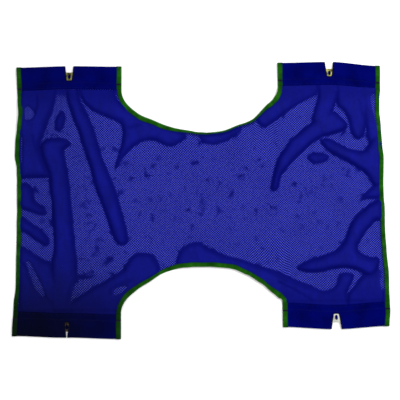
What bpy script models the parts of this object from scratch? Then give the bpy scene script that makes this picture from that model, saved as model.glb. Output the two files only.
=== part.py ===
"""One-piece mesh patient-lift sling, laid out flat: the solids, in metres, +Z up.

+X runs along the long side, from the back panel (-X) to the seat panel (+X), and +Y across it, to
the user's left. The origin is the middle of the footprint, on the surface the sling lies on.
"""

import math

import bmesh
import bpy

# Driving dimensions, in metres.
LENGTH = 1.400  # over both side bindings
WIDTH = 1.030  # over the folded outer edges of the hems
DRAWN_IN = {  # how far the ripples in the cloth draw each hem in towards the middle line
    ("back", "left"): 0.010,
    ("seat", "left"): 0.000,
    ("back", "right"): 0.000,
    ("seat", "right"): 0.025,
}
CLOTH = 0.0008  # one layer of mesh, hem cloth or binding tape
GAP = 0.0003  # between pieces that touch
HEM_LENGTH = 0.400
HEM_DEPTH = 0.090
POCKET_DEPTH = 0.066  # from the folded edge to the stitched end of the bar pocket
POCKET_STEP = 0.004  # length of the slope where the upper layer climbs over the bar
FOLD_CHAMFER = 0.001
SEAM_ALLOWANCE = 0.020  # mesh caught between the two layers of a hem
NOTCH_MOUTH = 0.038
NOTCH_END = 0.021
NOTCH_DEPTH = 0.057
NOTCH_CORNER = 0.004
BAR_LENGTH = 0.345
BAR_WIDTH = 0.034
BAR_THICKNESS = 0.003
BAR_SETBACK = 0.020  # from the folded edge to the bar's outer edge
BAR_CORNER = 0.008
BAR_EDGE = 0.0004
EYE_WIDTH = 0.011  # along the bar
EYE_LENGTH = 0.018  # across the bar
THROAT_HALF_LENGTH = 0.010  # beside the eye the bar's edges are relieved for the hook
THROAT_RELIEF = 0.0005
EYE_STEPS = 7  # straight runs in a quarter of the eye
EDGE_COVER = 0.015  # how far the binding tape reaches in over the side and arch edges
END_COVER = 0.019  # how far it reaches in over a hem's end
WAIST = 0.500  # between the crowns of the two arches
WAIST_SHIFT = -0.008  # of the waist's middle, from the middle line
ARCH_SHOULDER = 0.095  # from the folded edge, where the arch's straight sides start to curve
ARCH_EXPONENT = 1.8
ARCH_STEPS = 16  # straight runs in half an arch

# Levels: binding, hem cloth, mesh, hem cloth, binding, each a layer and a gap above the last.
LAYER = CLOTH + GAP
SLEEVE_LOW = LAYER
MESH_LOW = 2 * LAYER
SLEEVE_FLAT_TOP = 3 * LAYER + CLOTH
BINDING_TOP = 4 * LAYER + CLOTH
BAR_LOW = MESH_LOW
SLEEVE_POCKET_TOP = BAR_LOW + BAR_THICKNESS + GAP + CLOTH
END_BINDING_TOP = SLEEVE_POCKET_TOP + LAYER
HINGE_HEIGHT = BINDING_TOP + GAP

HALF_LENGTH = LENGTH / 2
HALF_WIDTH = WIDTH / 2
ARCH_HALF_WIDTH = HALF_LENGTH - HEM_LENGTH
HEM_CENTRE = ARCH_HALF_WIDTH + HEM_LENGTH / 2

NAVY_MESH = ("navy_mesh", (0.012, 0.014, 0.190), 0.75, 0.0)
NAVY_CLOTH = ("navy_hem_cloth", (0.004, 0.004, 0.095), 0.80, 0.0)
GREEN_TAPE = ("green_binding_tape", (0.010, 0.130, 0.007), 0.70, 0.0)
ZINC = ("yellow_zinc_steel", (0.480, 0.430, 0.240), 0.35, 1.0)

PANELS = (("back", -1), ("seat", 1))
SIDES = (("left", 1), ("right", -1))


def hem_reach(panel, side):
    """From the middle line to a hem's folded outer edge."""
    return HALF_WIDTH - DRAWN_IN[panel, side]


def clear_scene():
    for obj in list(bpy.data.objects):
        bpy.data.objects.remove(obj, do_unlink=True)


def material(spec):
    name, colour, roughness, metallic = spec
    made = bpy.data.materials.get(name)
    if made is None:
        made = bpy.data.materials.new(name)
        made.use_nodes = True
        shader = made.node_tree.nodes["Principled BSDF"]
        shader.inputs["Base Color"].default_value = (*colour, 1.0)
        shader.inputs["Roughness"].default_value = roughness
        shader.inputs["Metallic"].default_value = metallic
    return made


def solid(name, points, faces, spec, parent=None):
    """A closed mesh in world coordinates, hung on parent without moving it."""
    mesh = bpy.data.meshes.new(name)
    mesh.from_pydata(points, [], faces)
    shape = bmesh.new()
    shape.from_mesh(mesh)
    bmesh.ops.remove_doubles(shape, verts=shape.verts, dist=1e-7)
    bmesh.ops.recalc_face_normals(shape, faces=shape.faces)
    shape.to_mesh(mesh)
    shape.free()
    mesh.materials.append(material(spec))
    obj = bpy.data.objects.new(name, mesh)
    bpy.context.scene.collection.objects.link(obj)
    if parent is not None:
        obj.parent = parent
        obj.matrix_parent_inverse = parent.matrix_world.inverted()
    return obj


def pivot(name, location, parent=None):
    """An empty on a joint's axis."""
    empty = bpy.data.objects.new(name, None)
    empty.empty_display_size = 0.05
    bpy.context.scene.collection.objects.link(empty)
    if parent is not None:
        empty.parent = parent
        empty.matrix_parent_inverse = parent.matrix_world.inverted()
    empty.location = location
    bpy.context.view_layer.update()
    return empty


def plate(name, outlines, low, high, spec, parent=None):
    """Flat outlines that share edges, extruded from low to high as one plate."""
    points = []
    faces = []
    walls = {}
    for outline in outlines:
        start = len(points)
        count = len(outline)
        points += [(x, y, high) for x, y in outline]
        points += [(x, y, low) for x, y in outline]
        faces.append([start + i for i in range(count)])
        faces.append([start + count + i for i in reversed(range(count))])
        for i in range(count):
            j = (i + 1) % count
            ends = frozenset((round(x, 7), round(y, 7)) for x, y in (outline[i], outline[j]))
            wall = [start + i, start + count + i, start + count + j, start + j]
            walls.setdefault(ends, []).append(wall)
    faces += [found[0] for found in walls.values() if len(found) == 1]
    return solid(name, points, faces, spec, parent)


def sweep(name, rings, spec, parent=None):
    """A closed cross-section carried through a list of rings, with a cap on each end."""
    count = len(rings[0])
    points = [point for ring in rings for point in ring]
    faces = [list(range(count))]
    for k in range(len(rings) - 1):
        for i in range(count):
            j = (i + 1) % count
            faces.append([k * count + i, k * count + j, (k + 1) * count + j, (k + 1) * count + i])
    faces.append([(len(rings) - 1) * count + i for i in reversed(range(count))])
    return solid(name, points, faces, spec, parent)


def tape_ring(x, y, inward, top, cover):
    """The U of folded binding tape at one point of an edge, open towards the cloth."""
    profile = (
        (0.0, 0.0),
        (cover, 0.0),
        (cover, CLOTH),
        (CLOTH, CLOTH),
        (CLOTH, top - CLOTH),
        (cover, top - CLOTH),
        (cover, top),
        (0.0, top),
    )
    return [(x + inward[0] * n, y + inward[1] * n, z) for n, z in profile]


def arch_edge(panel, side, across):
    """Half an arch's edge, from the hem line to the crown, as (x, y, unit normal into the cloth).

    It is given for a panel on the +X side and for the +Y side of the middle line.
    """
    reach = hem_reach(panel, side)
    shoulder = reach - ARCH_SHOULDER
    crown = WAIST / 2 + across * WAIST_SHIFT
    height = shoulder - crown
    power = 2 / ARCH_EXPONENT
    edge = [(ARCH_HALF_WIDTH, reach - HEM_DEPTH - GAP / 2, (1.0, 0.0))]
    for i in range(ARCH_STEPS + 1):
        angle = math.pi / 2 * i / ARCH_STEPS
        over = max(math.cos(angle), 0.0) ** power
        down = math.sin(angle) ** power
        x = max(ARCH_HALF_WIDTH * over, GAP / 2)
        # the normal of a superellipse is the gradient of the sum of powers that defines it
        slope_x = over ** (ARCH_EXPONENT - 1) / ARCH_HALF_WIDTH
        slope_y = down ** (ARCH_EXPONENT - 1) / height
        size = math.hypot(slope_x, slope_y)
        edge.append((x, shoulder - height * down, (slope_x / size, -slope_y / size)))
    return edge


def mesh_panel(panel, end, parent):
    """Half of the mesh, from the waist to the side binding, between the two arches."""
    edge = HALF_LENGTH - LAYER
    outline = []
    for side, across in SIDES:
        arch = [
            (x + n[0] * LAYER, across * (y + n[1] * LAYER))
            for x, y, n in arch_edge(panel, side, across)
        ]
        corner = (edge, across * (hem_reach(panel, side) - HEM_DEPTH - GAP / 2))
        half = [corner, *arch]
        outline += half if across > 0 else half[::-1]
    outline = [(end * x, y) for x, y in outline]
    return plate(f"mesh_{panel}", [outline], MESH_LOW, MESH_LOW + CLOTH, NAVY_MESH, parent)


def side_binding(panel, end, parent):
    stops = [
        across * (hem_reach(panel, side) - HEM_DEPTH - GAP / 2)
        for side, across in SIDES
    ]
    rings = [
        tape_ring(end * HALF_LENGTH, y, (-end, 0.0), BINDING_TOP, EDGE_COVER)
        for y in reversed(stops)
    ]
    return sweep(f"side_binding_{panel}", rings, GREEN_TAPE, parent)


def arch_binding(panel, end, side, across, parent):
    rings = [
        tape_ring(end * x, across * y, (end * n[0], across * n[1]), BINDING_TOP, EDGE_COVER)
        for x, y, n in arch_edge(panel, side, across)
    ]
    return sweep(f"arch_binding_{panel}_{side}", rings, GREEN_TAPE, parent)


def end_binding(name, x, inward, across, reach, parent):
    """Tape round one end of a hem, stepping up where the hem passes over the bar."""
    pocket = reach - POCKET_DEPTH
    stations = (
        (reach - HEM_DEPTH + GAP / 2, BINDING_TOP),
        (pocket - POCKET_STEP - GAP, BINDING_TOP),
        (pocket - GAP, END_BINDING_TOP),
        (reach, END_BINDING_TOP),
    )
    rings = [
        tape_ring(x, across * y, (inward, 0.0), top, END_COVER)
        for y, top in stations
    ]
    return sweep(name, rings, GREEN_TAPE, parent)


def sleeve_profile(reach):
    """The folded hem cloth, end on, as distance from the middle line and height."""
    start = reach - HEM_DEPTH + GAP / 2
    pocket = reach - POCKET_DEPTH
    slope = pocket - POCKET_STEP
    low = SLEEVE_LOW
    top = SLEEVE_POCKET_TOP
    flat = SLEEVE_FLAT_TOP
    return (
        (start, low),
        (reach - FOLD_CHAMFER, low),
        (reach, low + FOLD_CHAMFER),
        (reach, top - FOLD_CHAMFER),
        (reach - FOLD_CHAMFER, top),
        (pocket, top),
        (slope, flat),
        (start, flat),
        (start, flat - CLOTH),
        (slope, flat - CLOTH),
        (pocket, top - CLOTH),
        (reach - CLOTH, top - CLOTH),
        (reach - CLOTH, low + CLOTH),
        (start, low + CLOTH),
    )


def rounded_corner(corner, before, after, radius, steps):
    """Points of the arc that rounds one convex corner of an outline."""
    to_before = (before[0] - corner[0], before[1] - corner[1])
    to_after = (after[0] - corner[0], after[1] - corner[1])
    a = math.hypot(*to_before)
    b = math.hypot(*to_after)
    u = (to_before[0] / a, to_before[1] / a)
    v = (to_after[0] / b, to_after[1] / b)
    half = math.acos(u[0] * v[0] + u[1] * v[1]) / 2
    reach = radius / math.tan(half)
    middle = (u[0] + v[0], u[1] + v[1])
    size = math.hypot(*middle)
    out = radius / math.sin(half)
    centre = (corner[0] + middle[0] / size * out, corner[1] + middle[1] / size * out)
    first = (corner[0] + u[0] * reach - centre[0], corner[1] + u[1] * reach - centre[1])
    last = (corner[0] + v[0] * reach - centre[0], corner[1] + v[1] * reach - centre[1])
    start = math.atan2(first[1], first[0])
    turn = math.atan2(last[1], last[0]) - start
    turn = (turn + math.pi) % (2 * math.pi) - math.pi
    return [
        (
            centre[0] + radius * math.cos(start + turn * i / steps),
            centre[1] + radius * math.sin(start + turn * i / steps),
        )
        for i in range(steps + 1)
    ]


def notch_outline(centre, across, reach):
    """The tapered cut at the middle of a hem, carried past its folded edge."""
    mouth = NOTCH_MOUTH / 2
    end = NOTCH_END / 2
    past = 0.01
    spread = (mouth - end) * past / NOTCH_DEPTH
    outer = reach + past
    inner = reach - NOTCH_DEPTH
    corners = (
        (-mouth - spread, outer),
        (-end, inner),
        (end, inner),
        (mouth + spread, outer),
    )
    points = [corners[0]]
    points += rounded_corner(corners[1], corners[0], corners[2], NOTCH_CORNER, 5)
    points += rounded_corner(corners[2], corners[1], corners[3], NOTCH_CORNER, 5)
    points.append(corners[3])
    return [(centre + x, across * y) for x, y in points]


def sleeve(name, end, across, reach, parent):
    """The hem's cloth, with the notch cut through both layers."""
    ends = (ARCH_HALF_WIDTH + LAYER, HALF_LENGTH - LAYER)
    rings = [[(end * x, across * y, z) for y, z in sleeve_profile(reach)] for x in ends]
    obj = sweep(f"sleeve_{name}", rings, NAVY_CLOTH, parent)
    outline = notch_outline(end * HEM_CENTRE, across, reach)
    cutter = plate(f"notch_cutter_{name}", [outline], -0.01, 0.02, NAVY_CLOTH, parent)
    cutter.hide_render = True
    cutter.display_type = "WIRE"
    cut = obj.modifiers.new("notch", "BOOLEAN")
    cut.operation = "DIFFERENCE"
    cut.solver = "EXACT"
    cut.object = cutter
    return obj


def tongue(name, end, across, reach, parent):
    """The mesh's own edge, caught between the hem's two layers."""
    line = reach - HEM_DEPTH
    x0 = end * (ARCH_HALF_WIDTH + LAYER)
    x1 = end * (HALF_LENGTH - LAYER)
    y0 = across * (line + GAP / 2)
    y1 = across * (line + SEAM_ALLOWANCE)
    outline = [(x0, y0), (x1, y0), (x1, y1), (x0, y1)]
    top = MESH_LOW + CLOTH
    return plate(f"mesh_tongue_{name}", [outline], MESH_LOW, top, NAVY_MESH, parent)


def bar_outlines():
    """The hanger bar in plan, about its own middle: two ends, and the ring of cells round the eye."""
    half_width = BAR_WIDTH / 2
    throat = half_width - THROAT_RELIEF
    corners = [
        (THROAT_HALF_LENGTH, -throat),
        (THROAT_HALF_LENGTH, throat),
        (-THROAT_HALF_LENGTH, throat),
        (-THROAT_HALF_LENGTH, -throat),
    ]
    frame = []
    for k, (x, y) in enumerate(corners):
        to_x, to_y = corners[(k + 1) % 4]
        for i in range(EYE_STEPS):
            share = i / EYE_STEPS
            frame.append((x + (to_x - x) * share, y + (to_y - y) * share))
    eye = []
    for x, y in frame:
        angle = math.atan2(y / throat, x / THROAT_HALF_LENGTH)
        eye.append((EYE_WIDTH / 2 * math.cos(angle), EYE_LENGTH / 2 * math.sin(angle)))
    count = len(frame)
    cells = [
        [eye[i], frame[i], frame[(i + 1) % count], eye[(i + 1) % count]]
        for i in range(count)
    ]
    low = (BAR_LENGTH / 2, -half_width)
    high = (BAR_LENGTH / 2, half_width)
    shoulder = THROAT_HALF_LENGTH + THROAT_RELIEF
    right = [(shoulder, -half_width)]
    right += rounded_corner(low, (0.0, -half_width), high, BAR_CORNER, 6)
    right += rounded_corner(high, low, (0.0, half_width), BAR_CORNER, 6)
    right.append((shoulder, half_width))
    right += reversed(frame[: EYE_STEPS + 1])
    left = [(-x, -y) for x, y in right]
    return [right, left, *cells]


def hanger_bar(name, x, y, parent):
    """A flat bar lying loose in the hem's pocket, with its eye in the notch."""
    outlines = [[(x + dx, y + dy) for dx, dy in outline] for outline in bar_outlines()]
    top = BAR_LOW + BAR_THICKNESS
    obj = plate(f"hanger_bar_{name}", outlines, BAR_LOW, top, ZINC, parent)
    bevel = obj.modifiers.new("deburred", "BEVEL")
    bevel.width = BAR_EDGE
    bevel.segments = 1
    bevel.limit_method = "ANGLE"
    bevel.angle_limit = math.radians(40)
    return obj


def hem(panel, end, side, across, panel_pivot):
    """A hem, which folds on its inner edge, and the bar that slides in its pocket."""
    name = f"{panel}_{side}"
    reach = hem_reach(panel, side)
    line = across * (reach - HEM_DEPTH)
    fold = pivot(f"hem_fold_{name}_axis", (end * HEM_CENTRE, line, HINGE_HEIGHT), panel_pivot)
    sleeve(name, end, across, reach, fold)
    tongue(name, end, across, reach, fold)
    outer = end * HALF_LENGTH
    inner = end * ARCH_HALF_WIDTH
    end_binding(f"end_binding_{name}_outer", outer, -end, across, reach, fold)
    end_binding(f"end_binding_{name}_inner", inner, end, across, reach, fold)
    x = end * HEM_CENTRE
    y = across * (reach - BAR_SETBACK - BAR_WIDTH / 2)
    play = pivot(f"bar_play_{name}_axis", (x, y, BAR_LOW + BAR_THICKNESS / 2), fold)
    hanger_bar(name, x, y, play)


def build():
    clear_scene()
    waist = pivot("waist_fold_axis", (0.0, 0.0, HINGE_HEIGHT))
    for panel, end in PANELS:
        held_by = waist if panel == "seat" else None
        mesh_panel(panel, end, held_by)
        side_binding(panel, end, held_by)
        for side, across in SIDES:
            arch_binding(panel, end, side, across, held_by)
            hem(panel, end, side, across, held_by)


build()
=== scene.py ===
import math

import bpy
import numpy as np
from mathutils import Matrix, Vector


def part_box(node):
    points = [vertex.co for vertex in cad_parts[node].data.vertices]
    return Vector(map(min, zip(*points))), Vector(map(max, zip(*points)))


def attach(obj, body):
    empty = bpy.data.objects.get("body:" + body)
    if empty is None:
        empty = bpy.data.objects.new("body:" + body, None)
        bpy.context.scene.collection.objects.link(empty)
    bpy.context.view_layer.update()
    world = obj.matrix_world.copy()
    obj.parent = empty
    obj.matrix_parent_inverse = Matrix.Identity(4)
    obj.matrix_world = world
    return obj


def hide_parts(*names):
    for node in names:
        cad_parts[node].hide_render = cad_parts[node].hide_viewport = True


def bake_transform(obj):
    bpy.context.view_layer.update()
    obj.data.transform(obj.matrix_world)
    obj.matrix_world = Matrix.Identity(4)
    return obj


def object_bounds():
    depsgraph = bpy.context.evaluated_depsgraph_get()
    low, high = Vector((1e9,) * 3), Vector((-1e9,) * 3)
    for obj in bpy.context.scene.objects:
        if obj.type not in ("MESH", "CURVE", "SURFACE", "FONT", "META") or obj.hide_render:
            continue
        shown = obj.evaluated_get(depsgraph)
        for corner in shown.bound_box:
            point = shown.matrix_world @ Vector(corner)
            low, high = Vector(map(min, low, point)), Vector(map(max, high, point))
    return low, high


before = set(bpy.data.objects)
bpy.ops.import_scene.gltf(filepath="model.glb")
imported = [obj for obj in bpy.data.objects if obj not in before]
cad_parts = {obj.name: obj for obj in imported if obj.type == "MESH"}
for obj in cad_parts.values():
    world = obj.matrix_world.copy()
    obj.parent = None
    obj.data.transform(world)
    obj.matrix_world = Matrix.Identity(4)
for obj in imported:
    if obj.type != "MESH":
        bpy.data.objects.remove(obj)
cad_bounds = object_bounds()

# The sling lies flat: +X from the back panel to the seat panel, +Y to the user's left, +Z up.
# Everything is in metres.

PANELS = (("back", -1), ("seat", 1))
SIDES = (("left", 1), ("right", -1))
BODY = {"back": "back_panel", "seat": "seat_panel"}

# Sizes that the solids share.
HEM_DEPTH = 0.090
POCKET_DEPTH = 0.066
POCKET_SLOPE = 0.004
NOTCH_MOUTH = 0.038
NOTCH_END = 0.021
NOTCH_DEPTH = 0.057
NOTCH_ROUND = 0.004
TAPE_COVER = 0.015
TAPE_SPREAD = 0.0022  # how much wider than that a tape has flattened out
END_TAPE_COVER = 0.019
PLY = 0.0008
ARCH_SHOULDER = 0.095
ARCH_EXPONENT = 1.8

# Places that come from the frame.
HALF_LENGTH = cad_bounds[1][0]
REACH = {}  # from the middle line to each hem's folded edge
CROWN = {}  # from the middle line to each arch's edge at the waist
for panel, end in PANELS:
    for side, across in SIDES:
        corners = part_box(f"sleeve_{panel}_{side}")
        REACH[panel, side] = max(abs(corners[0].y), abs(corners[1].y))
        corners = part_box(f"arch_binding_{panel}_{side}")
        CROWN[side] = min(abs(corners[0].y), abs(corners[1].y)) + TAPE_COVER
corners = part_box("end_binding_seat_left_inner")
ARCH_HALF_WIDTH = corners[0].x
HEM_CENTRE = (ARCH_HALF_WIDTH + HALF_LENGTH) / 2

# The net: a square lattice standing on its corners, with a small square hole in each cell.
NET_PITCH_X = 0.0094
NET_PITCH_Y = 0.0089
HOLE_SHARE = 0.16  # side of a hole over the side of its cell, where the net lies on the floor
HOLE_CLOSED = 0.99  # how far the holes close up where the net is raised and slack
NET_REST = 0.0012  # height of the net where it touches the floor
NET_AT_HEM = 0.0026
NET_PAST_HEM = 0.003


def smooth(low, high, value):
    t = np.clip((value - low) / (high - low), 0.0, 1.0)
    return t * t * (3 - 2 * t)


def along(value, knots):
    """A smooth curve through knots of (value, result)."""
    places = [k[0] for k in knots]
    results = [k[1] for k in knots]
    value = np.clip(value, places[0], places[-1])
    index = np.clip(np.searchsorted(places, value) - 1, 0, len(knots) - 2)
    low = np.take(places, index)
    high = np.take(places, index + 1)
    t = (value - low) / (high - low)
    t = t * t * (3 - 2 * t)
    return np.take(results, index) * (1 - t) + np.take(results, index + 1) * t


# How the laid-out outline differs from the drawn one, in metres.
# Each hem bends a little at its notch: (inner end, notch, outer end), outwards positive.
HEM_BEND = {
    ("back", "left"): (0.002, 0.005, 0.000),
    ("seat", "left"): (0.004, 0.007, -0.010),
    ("back", "right"): (0.009, 0.002, -0.006),
    ("seat", "right"): (-0.003, 0.007, -0.003),
}
# The arches' edges sag into their openings: (x from the waist, distance into the opening).
ARCH_SAG = {
    ("back", "left"): (
        (0.00, 0.0075), (0.05, 0.012), (0.10, 0.011), (0.18, 0.013), (0.24, 0.005), (0.30, 0.000),
    ),
    ("seat", "left"): (
        (0.00, 0.0075), (0.03, 0.004), (0.09, 0.0015), (0.14, 0.006), (0.20, 0.0015),
        (0.255, 0.014), (0.285, 0.006), (0.30, 0.000),
    ),
    ("back", "right"): (
        (0.00, 0.004), (0.04, 0.002), (0.08, -0.001), (0.14, 0.000), (0.20, 0.010),
        (0.24, 0.008), (0.30, 0.000),
    ),
    ("seat", "right"): (
        (0.00, 0.004), (0.05, 0.002), (0.12, -0.002), (0.17, 0.005), (0.22, 0.015),
        (0.26, 0.0245), (0.285, 0.0225), (0.30, 0.0165), (0.34, 0.000),
    ),
}
# The side edges wander in from the straight line: (y, distance inwards).
SIDE_WAVE = {
    "back": (
        (-0.50, -0.002), (-0.40, 0.002), (-0.33, 0.009), (-0.15, 0.009), (0.00, 0.009),
        (0.06, 0.007), (0.11, 0.0055), (0.165, -0.003), (0.215, -0.002), (0.27, 0.004),
        (0.325, 0.0085), (0.38, 0.004), (0.44, 0.000), (0.50, -0.003),
    ),
    "seat": (
        (-0.49, 0.002), (-0.43, -0.003), (-0.36, -0.002), (-0.30, -0.003), (-0.20, 0.0025),
        (-0.15, 0.005), (-0.06, 0.005), (0.04, 0.007), (0.15, 0.003), (0.21, 0.005),
        (0.27, 0.007), (0.33, 0.0105), (0.38, 0.009), (0.44, 0.0045), (0.50, 0.0025),
    ),
}


def settle(x, y):
    """Where a point of the flat outline comes to lie, as (x, y) arrays."""
    x = np.asarray(x, float)
    y = np.asarray(y, float)
    new_x = x.copy()
    new_y = y.copy()
    for panel, end in PANELS:
        edge = smooth(0.52, 0.70, end * x)
        new_x -= end * edge * along(y, SIDE_WAVE[panel])
        for side, across in SIDES:
            inner, notch, outer = HEM_BEND[panel, side]
            knots = (
                (0.12, 0.0),
                (ARCH_HALF_WIDTH, inner),
                (HEM_CENTRE, notch),
                (HALF_LENGTH, outer),
            )
            line = REACH[panel, side] - HEM_DEPTH
            near = smooth(0.22, line, across * y)
            here = (end * x > 0) | ((x == 0) & (end > 0))
            new_y += across * here * near * along(end * x, knots)
            sag = along(end * x, ARCH_SAG[panel, side]) * smooth(line, line - 0.045, across * y)
            new_y += across * here * sag * smooth(0.12, CROWN[side], across * y)
    return new_x, new_y


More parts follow.
